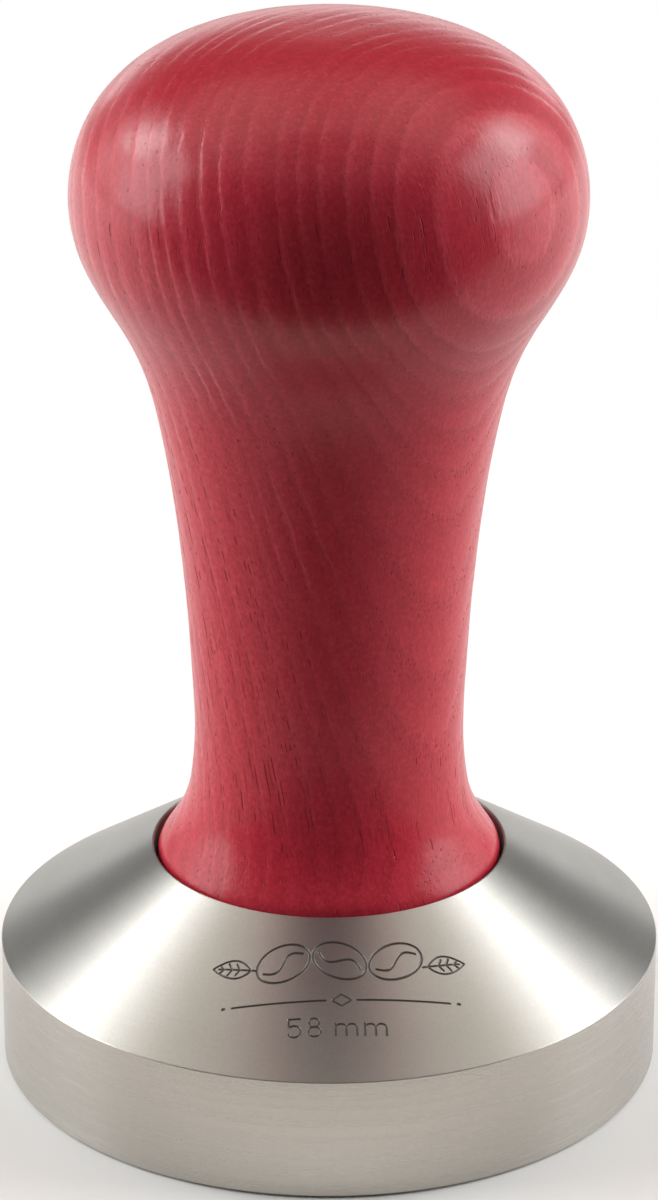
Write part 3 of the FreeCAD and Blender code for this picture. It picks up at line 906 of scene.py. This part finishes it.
# ---------------------------------------------------------------------- handle
def handle_outline():
    turn = math.radians(65)
    b = (FOOT_R - 0.12, FOOT_Z + FOOT_ROUND * (1 - math.cos(turn)))
    pts = [b, (FOOT_R, FOOT_WIDEST_Z)] + [(r, z) for z, r in STEM] + [(KNOB_R, KNOB_Z)]
    for t in (14, 27, 40, 52, 63, 73, 81, 86):
        s = math.radians(t)
        pts.append((
            KNOB_R * math.cos(s) ** (2 / 2.62),
            KNOB_Z + (TOP_Z - KNOB_Z) * math.sin(s) ** (2 / 2.14),
        ))
    at, t = spline(pts + [(0.0, TOP_Z)] + [(-r, z) for r, z in reversed(pts)])
    end = t[len(pts)]
    samples = at(np.linspace(0, end, 4000))
    arc_c = (b[0] - FOOT_ROUND * math.sin(turn), FOOT_Z + FOOT_ROUND)
    arc = [
        (arc_c[0] + FOOT_ROUND * math.sin(turn * k / 40), arc_c[1] - FOOT_ROUND * math.cos(turn * k / 40))
        for k in range(40)
    ]
    curve = np.array(arc + [tuple(p) for p in samples])
    s = np.r_[0, np.cumsum(np.hypot(*np.diff(curve, axis=0).T))]
    return curve, s, arc_c[0]


def relief_depth(u, s):
    """How far the surface lies under the turned outline: the softer early wood sands away a little more."""
    return 0.012 * early_wood(u) * smoothstep(0.0, 1.5, s)


def make_handle():
    rng = np.random.default_rng(SEED)
    curve, s_all, flat_r = handle_outline()
    total = s_all[-1]
    tang = np.gradient(curve, s_all, axis=0)
    tang /= np.linalg.norm(tang, axis=1, keepdims=True)
    tang[-1] = (-1, 0)

    def surface(a, s):
        """Points and outward normals at angle a and arc length s."""
        r, z = np.interp(s, s_all, curve[:, 0]), np.interp(s, s_all, curve[:, 1])
        tr, tz = np.interp(s, s_all, tang[:, 0]), np.interp(s, s_all, tang[:, 1])
        k = np.hypot(tr, tz)
        return around(r, z, a), around(tz / k, -tr / k, a)

    # the cap above this arc length is laid out in plan
    cap_r = 7.0
    tail = slice(len(curve) // 2, None)
    s_of_r = lambda r: np.interp(-r, -curve[tail, 0], s_all[tail])
    s_cap = float(s_of_r(cap_r))
    scale = 16.5
    cols = 240
    step_a = 2 * math.pi / cols
    n_rows = int(round(s_cap / 0.50))

    # pores: vessel openings, long where the surface runs with the fibre, short where it cuts across
    tries = 70000
    a = rng.uniform(-math.pi + 0.12, math.pi - 0.12, tries)
    grid_s = np.linspace(0, total, 2000)
    cdf = np.cumsum(np.interp(grid_s, s_all, curve[:, 0]))
    s = np.interp(rng.random(tries), cdf / cdf[-1], grid_s)
    pick, size, far, deep = rng.random((4, tries))
    bend = rng.uniform(-1, 1, tries)
    p, n = surface(a, s)
    ring = ring_field(p) % 1.0
    early = np.where(ring > 0.92, 1.0, 1 - smoothstep(0.10, 0.36, ring))
    z = p[:, 2]
    crowd = np.interp(z, (38, 60, 70), (1.0, 0.70, 0.26))
    keep = (pick < (0.62 * early + 0.018) * crowd) & (s > 0.9)
    width = 0.095 + 0.095 * size ** 1.5
    across = np.abs(n @ GRAIN)
    length = np.minimum((0.6 + 3.6 * far ** 2.0) * np.interp(z, (58, 72), (1.0, 0.45)), np.maximum(width * 1.25, width / np.maximum(across, 1e-3)))
    t = GRAIN - (n @ GRAIN)[:, None] * n
    t /= np.maximum(np.linalg.norm(t, axis=1), 1e-6)[:, None]
    e_a = around(0 * a, 0 * a, a) + np.stack([np.cos(a), np.sin(a), 0 * a], -1)
    e_s = np.cross(n, e_a)
    ta, ts = (t * e_a).sum(1), (t * e_s).sum(1)
    depth = (0.16 + 0.14 * deep) * width

    cell = 0.19
    taken = set()

    def free(cells):
        return not any((x + dx, y + dy) in taken for x, y in cells for dx in (-1, 0, 1) for dy in (-1, 0, 1))

    pts, edges, sunk = [], [], {}
    in_cap, kept = [], 0
    for i in np.nonzero(keep)[0]:
        if s[i] > s_cap - 1.2:
            if s[i] > s_cap + 0.5:
                in_cap.append(i)
            continue
        k = scale / math.hypot(p[i, 0], p[i, 1])
        h, b, x0, y0 = length[i] / 2, width[i] / 2, a[i] * scale, s[i]
        if y0 - h < 0.7 or y0 + h > s_cap - 0.6 or abs(x0) + h > math.pi * scale - 0.5:
            continue
        sway = bend[i] * min(0.10, 0.05 * length[i]) if length[i] > 0.8 else 0.0

        def local(l, w):
            w = w + sway * (1 - (l / h) ** 2)
            return x0 + (l * ta[i] - w * ts[i]) * k, y0 + l * ts[i] + w * ta[i]

        count = max(1, int(length[i] / 0.12))
        cells = [(math.floor(x / cell), math.floor(y / cell)) for x, y in (local(-h + 2 * h * q / count, 0.0) for q in range(count + 1))]
        if not free(cells):
            continue
        taken.update(cells)
        base = len(pts)
        if length[i] > 0.8:
            sides = (-0.70, 0.0, 0.70)
            rim = [(-h, 0.0)] + [(f * h, b * (1 - abs(f) ** 2.4 * 0.62)) for f in sides] + [(h, 0.0)]
            rim += [(f * h, -b * (1 - abs(f) ** 2.4 * 0.62)) for f in reversed(sides)]
            mids = [(f * h, 0.0) for f in (-0.74, 0.0, 0.74)]
        else:
            rim = [(h * math.cos(q * math.pi / 3), b * math.sin(q * math.pi / 3)) for q in range(6)]
            mids = [(0.0, 0.0)]
        pts += [local(l, w) for l, w in rim]
        edges += [(base + q, base + (q + 1) % len(rim)) for q in range(len(rim))]
        m0 = len(pts)
        for q in range(len(mids)):
            sunk[m0 + q] = depth[i]
        pts += [local(l, w) for l, w in mids]
        if len(mids) > 1:
            edges += [(m0 + q, m0 + q + 1) for q in range(len(mids) - 1)]
            edges += [(base, m0), (m0 + len(mids) - 1, base + 4)]
        kept += 1

    # grid over the side, staggered row by row; the two ends meet at the back
    half_w = math.pi * scale
    near = {(x + dx, y + dy) for x, y in taken for dx in (-1, 0, 1) for dy in (-1, 0, 1)}
    for i in range(n_rows + 1):
        y = s_cap * i / n_rows
        shift = 0.5 if i % 2 and 0 < i < n_rows else 0.0
        inner = 0 < i < n_rows
        for j in range(cols + 1):
            x = -half_w + (j + shift) * step_a * scale
            if x > half_w - 1e-9:
                x = half_w
                if shift:
                    continue
            if inner and 0 < j + shift < cols and (math.floor(x / cell), math.floor(y / cell)) in near:
                continue
            pts.append((x, y))
        if shift:
            pts += [(-half_w, y), (half_w, y)]
    shell = Shell()
    xy, tri, source = triangulate(pts, edges)
    ang = np.where(xy[:, 0] > half_w - 1e-6, -half_w, xy[:, 0]) / scale
    ang = np.where((xy[:, 1] < 1e-6) | (xy[:, 1] > s_cap - 1e-6), np.round(ang / step_a) * step_a, ang)
    carve(shell, ang, xy[:, 1], tri, source, sunk, surface)

    # cap, in plan
    pts, edges, sunk, taken, cell = [], [], {}, set(), 0.2
    pts += [(cap_r * math.sin(q * step_a), -cap_r * math.cos(q * step_a)) for q in range(cols)]
    edges += [(j, (j + 1) % cols) for j in range(cols)]
    for i in in_cap:
        x, y = p[i, 0], p[i, 1]
        c = (math.floor(x / cell), math.floor(y / cell))
        if math.hypot(x, y) > cap_r - 0.5 or not free([c]):
            continue
        taken.add(c)
        base, b, long = len(pts), width[i] / 2, max(width[i] * 0.6, length[i] / 2)
        for q in range(6):
            l, w = long * math.cos(q * math.pi / 3), b * math.sin(q * math.pi / 3)
            pts.append((x + l * t[i, 0] - w * t[i, 1], y + l * t[i, 1] + w * t[i, 0]))
        edges += [(base + q, base + (q + 1) % 6) for q in range(6)]
        sunk[len(pts)] = depth[i]
        pts.append((x, y))
        kept += 1
    spacing = 0.50
    n_c = int(cap_r / spacing) + 2
    for j in range(-n_c - 2, n_c + 3):
        for i in range(-n_c, n_c + 1):
            x, y = (i + (0.5 if j % 2 else 0)) * spacing, j * spacing * 0.87
            if math.hypot(x, y) < cap_r - 0.30 and free([(math.floor(x / cell), math.floor(y / cell))]):
                pts.append((x, y))
    xy, tri, source = triangulate(pts, edges)
    rr = np.hypot(xy[:, 0], xy[:, 1])
    ang = np.arctan2(xy[:, 0], -xy[:, 1])
    edge = rr > cap_r - 1e-4
    ang = np.where(edge, np.round(ang / step_a) * step_a, ang)
    carve(shell, ang, np.where(edge, s_cap, s_of_r(rr)), tri, source, sunk, surface)

    # pilot hole and the underside of the foot, from the hole's point outwards
    ring_a = circle(cols)
    tip = PILOT_R / math.tan(math.radians(59.0))
    lathe(shell, [(0.0, PILOT_TOP_Z + tip, -0.515, -0.857), (PILOT_R, PILOT_TOP_Z, -0.515, -0.857)], ring_a)
    lathe(shell, straight(PILOT_R, PILOT_TOP_Z, PILOT_R, FOOT_Z + PILOT_MOUTH_DEPTH, -1, 0, 12), ring_a)
    k = 1 / math.hypot(PILOT_MOUTH_R - PILOT_R, PILOT_MOUTH_DEPTH)
    slope = (-PILOT_MOUTH_DEPTH * k, -(PILOT_MOUTH_R - PILOT_R) * k)
    lathe(shell, [(PILOT_R, FOOT_Z + PILOT_MOUTH_DEPTH, *slope), (PILOT_MOUTH_R, FOOT_Z, *slope)], ring_a)
    under = [(r, FOOT_Z, 0, -1) for r in (PILOT_MOUTH_R, 9.0, 11.0, 13.0)] + [(curve[0, 0], curve[0, 1], 0, -1)]
    lathe(shell, under, ring_a)
    print("handle: pores", kept)
    return shell.build("handle_turned", [WOOD], mark="pore", point={"ring": ring_field})


def carve(shell, ang, s, tri, source, sunk, surface):
    """Adds a triangulated patch of the turned surface. Pores are sunk in, with normals of their own; the rest is smooth."""
    points, n = surface(ang, s)
    u = ring_field(points)
    down = np.array([max((sunk.get(o, 0.0) for o in group), default=0.0) for group in source])
    points = points - n * (relief_depth(u, s) + down)[:, None]
    normals = n[tri]
    pore = down[tri].max(axis=1) > 0
    flat, solid = cross_normals(points, tri)
    # part way to the smooth normal: the lacquer rounds the pore's edges
    normals[pore] = 0.62 * flat[pore][:, None] + 0.38 * normals[pore]
    shell.patch(points, tri[solid], normals[solid], pore[solid].astype(float))


def make_washer():
    shell = Shell()
    z0, z1, r0, r1, e = 17.2, 18.0, 4.5, 14.3, 0.14
    rows = arc_rows(r1 - e, z0 + e, e, -90, 0, 3) + arc_rows(r1 - e, z1 - e, e, 0, 90, 3)
    rows += [(r, z1, 0, 1) for r in (12.0, 9.5, 7.0)]
    rows += arc_rows(r0 + e, z1 - e, e, 90, 180, 3) + arc_rows(r0 + e, z0 + e, e, 180, 270, 3)
    rows += [(r, z0, 0, -1) for r in (7.0, 9.5, 12.0)]
    rows += [rows[0]]
    lathe(shell, rows, circle(240))
    return shell.build("seal_washer_ring", [RUBBER])


base = make_base()
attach(base, "base")
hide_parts("tamping_base")

handle = make_handle()
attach(handle, "handle")
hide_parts("handle")

washer = make_washer()
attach(washer, "washer")
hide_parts("seal_washer")

for node, material in (("threaded_stud", PLATED), ("threaded_insert", BRASS)):
    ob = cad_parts[node]
    for slot in ob.material_slots:
        slot.material = material


# ---------------------------------------------------- floor, lights and camera
def pale_floor():
    """A pale table that runs out into the backdrop. Its near part only shows; it throws no light back on to the tamper's front."""
    me = bpy.data.meshes.new("floor")
    size = 6.0
    me.from_pydata([(-size, -size, 0), (size, -size, 0), (size, size, 0), (-size, size, 0)], [], [(0, 1, 2, 3)])
    ob = bpy.data.objects.new("floor", me)
    bpy.context.scene.collection.objects.link(ob)
    m, nt, bsdf = new_material("pale_table")
    g = Graph(nt)
    p = g.object_mm()
    y = g.split(p)[1]
    seen = g.node("ShaderNodeLightPath").outputs["Is Camera Ray"]
    unseen = g.math("SUBTRACT", 1.0, seen)
    # painted light: seen only by rays from the tamper, the table in front is tinted warm, a pool of warm bounced light
    # painted into its colour
    painted_warm_bounce = g.math("MULTIPLY", unseen, g.ramp(g.math("MULTIPLY_ADD", y, -0.004, 0.5), [(0.45, 0.0), (0.75, 1.0)]))
    tone = g.mix(g.noise(p, 0.02, 3, 0.5), (0.93, 0.93, 0.93), (0.955, 0.955, 0.955))
    g.feed(bsdf.inputs["Base Color"], g.mix(painted_warm_bounce, tone, (0.900, 0.825, 0.765)))
    bsdf.inputs["Roughness"].default_value = 0.7
    bsdf.inputs["Specular IOR Level"].default_value = 0.2
    # away from the tamper the table takes the backdrop's tone
    glow = g.node("ShaderNodeEmission")
    glow.inputs["Color"].default_value = (1, 1, 1, 1)
    glow.inputs["Strength"].default_value = 1.0
    away = g.ramp(g.math("MULTIPLY", g.vec("LENGTH", p), 0.002), [(0.0, 0.0), (0.15, 0.0), (0.45, 1.0), (1.0, 1.0)], "EASE")
    sweep = g.node("ShaderNodeMixShader")
    g.feed(sweep.inputs[0], g.math("MULTIPLY", away, seen))
    g.link(bsdf.outputs[0], sweep.inputs[1])
    g.link(glow.outputs[0], sweep.inputs[2])
    clear = g.node("ShaderNodeBsdfTransparent")
    whole = g.node("ShaderNodeMixShader")
    g.feed(whole.inputs[0], g.math("MULTIPLY", unseen, g.ramp(g.math("MULTIPLY", y, -0.01), [(0.54, 0.0), (0.84, 1.0)])))
    g.link(sweep.outputs[0], whole.inputs[1])
    g.link(clear.outputs[0], whole.inputs[2])
    out = next(n for n in nt.nodes if n.type == "OUTPUT_MATERIAL")
    g.link(whole.outputs[0], out.inputs["Surface"])
    me.materials.append(m)
    return ob


def softbox(name, az, el, distance, width, height, radiance, colour=(1, 1, 1), mirrored=True):
    """A rectangular light. az runs from +Y (behind the tamper) towards +X, el up from the horizon; width and height in degrees."""
    a, e = math.radians(az), math.radians(el)
    d = Vector((math.sin(a) * math.cos(e), math.cos(a) * math.cos(e), math.sin(e)))
    light = bpy.data.lights.new(name, "AREA")
    light.shape = "RECTANGLE"
    light.size = 2 * distance * math.tan(math.radians(width / 2))
    light.size_y = 2 * distance * math.tan(math.radians(height / 2))
    light.energy = radiance * 4 * light.size * light.size_y
    light.color = colour
    ob = bpy.data.objects.new(name, light)
    ob.location = Vector((0, 0, 0.05)) + d * distance
    ob.rotation_mode = "QUATERNION"
    ob.rotation_quaternion = (-d).to_track_quat("-Z", "Y")
    ob.visible_glossy = mirrored
    bpy.context.scene.collection.objects.link(ob)
    return ob


pale_floor()
# each side: a small bright middle, a dim panel behind it and a brighter one beside it
softbox("left_core", -67.0, 33, 1.00, 13, 19, 4.9)
softbox("left_panel", -61.0, 20, 1.10, 24, 38, 1.20)
softbox("left_wing", -88, 21, 1.10, 29, 40, 3.00)
softbox("left_fill", -80, 20, 1.15, 38, 38, 1.05, mirrored=False)
softbox("right_core", 67.0, 33, 1.00, 13, 19, 4.3)
softbox("right_panel", 60.0, 20, 1.10, 24, 38, 1.20)
softbox("right_wing", 87, 21, 1.10, 29, 40, 3.00)
softbox("right_fill", 79, 20, 1.15, 38, 38, 1.05, mirrored=False)


def studio_world():
    """Dark towards the camera and between the lights, a low pale card behind, a dim ceiling."""
    world = bpy.data.worlds.new("studio")
    bpy.context.scene.world = world
    world.use_nodes = True
    nt = world.node_tree
    nt.nodes.clear()
    g = Graph(nt)
    out, bg = g.node("ShaderNodeOutputWorld"), g.node("ShaderNodeBackground")
    x, y, z = g.split(g.node("ShaderNodeTexCoord").outputs["Generated"])
    az = g.math("ABSOLUTE", g.math("ARCTAN2", x, y))
    card = g.math("MULTIPLY",
        g.ramp(g.math("MULTIPLY", az, 1 / math.pi), [(0.0, 1.0), (0.138, 1.0), (0.150, 0.0), (1.0, 0.0)]),
        g.ramp(z, [(0.0, 1.0), (0.10, 1.0), (0.19, 0.0), (1.0, 0.0)]))
    ceiling = g.math("MULTIPLY",
        g.ramp(z, [(0.0, 0.0), (0.66, 0.0), (0.80, 1.0), (1.0, 1.0)]),
        g.ramp(g.math("MULTIPLY", az, 1 / math.pi), [(0.0, 0.44), (0.06, 0.56), (0.16, 1.0), (0.52, 1.0), (0.62, 0.48), (0.72, 0.32), (1.0, 0.12)]))
    between = g.math("MULTIPLY",
        g.ramp(g.math("MULTIPLY", az, 1 / math.pi), [(0.0, 1.0), (0.22, 1.0), (0.26, 0.0), (1.0, 0.0)]),
        g.ramp(z, [(0.0, 1.0), (0.26, 1.0), (0.42, 0.0), (1.0, 0.0)]))
    level = g.math("MULTIPLY_ADD", card, 1.75, 0.045)
    level = g.math("ADD", level, g.math("MULTIPLY", between, 0.29))
    level = g.math("ADD", level, g.math("MULTIPLY", ceiling, 1.28))
    # what the camera sees past the floor's edge is the pale backdrop
    seen = g.node("ShaderNodeLightPath").outputs["Is Camera Ray"]
    level = g.math("ADD", g.math("MULTIPLY", level, g.math("SUBTRACT", 1.0, seen)), g.math("MULTIPLY", seen, 1.0))
    g.feed(bg.inputs["Strength"], level)
    warm = g.math("MULTIPLY", ceiling, g.math("SUBTRACT", 1.0, seen))
    g.feed(bg.inputs["Color"], g.mix(warm, (1.0, 1.0, 1.0), (1.0, 0.915, 0.815)))
    g.link(bg.outputs[0], out.inputs["Surface"])


studio_world()

camera_data = bpy.data.cameras.new("camera")
camera = bpy.data.objects.new("camera", camera_data)
bpy.context.scene.collection.objects.link(camera)
pitch, reach, aim = math.radians(22.56), 0.400, Vector((0, 0, 0.04237))
back = Vector((0, -math.cos(pitch), math.sin(pitch)))
camera.location = aim + back * reach
camera.rotation_mode = "QUATERNION"
camera.rotation_quaternion = (-back).to_track_quat("-Z", "Y")
camera_data.sensor_width = 36.0
camera_data.lens = 36.0 * 4642.5 / 1200.0
camera_data.clip_start, camera_data.clip_end = 0.01, 50.0
bpy.context.scene.camera = camera

scene = bpy.context.scene
scene.view_settings.view_transform = "Standard"
scene.view_settings.look = "None"
scene.view_settings.exposure = 0.0
scene.view_settings.gamma = 1.0
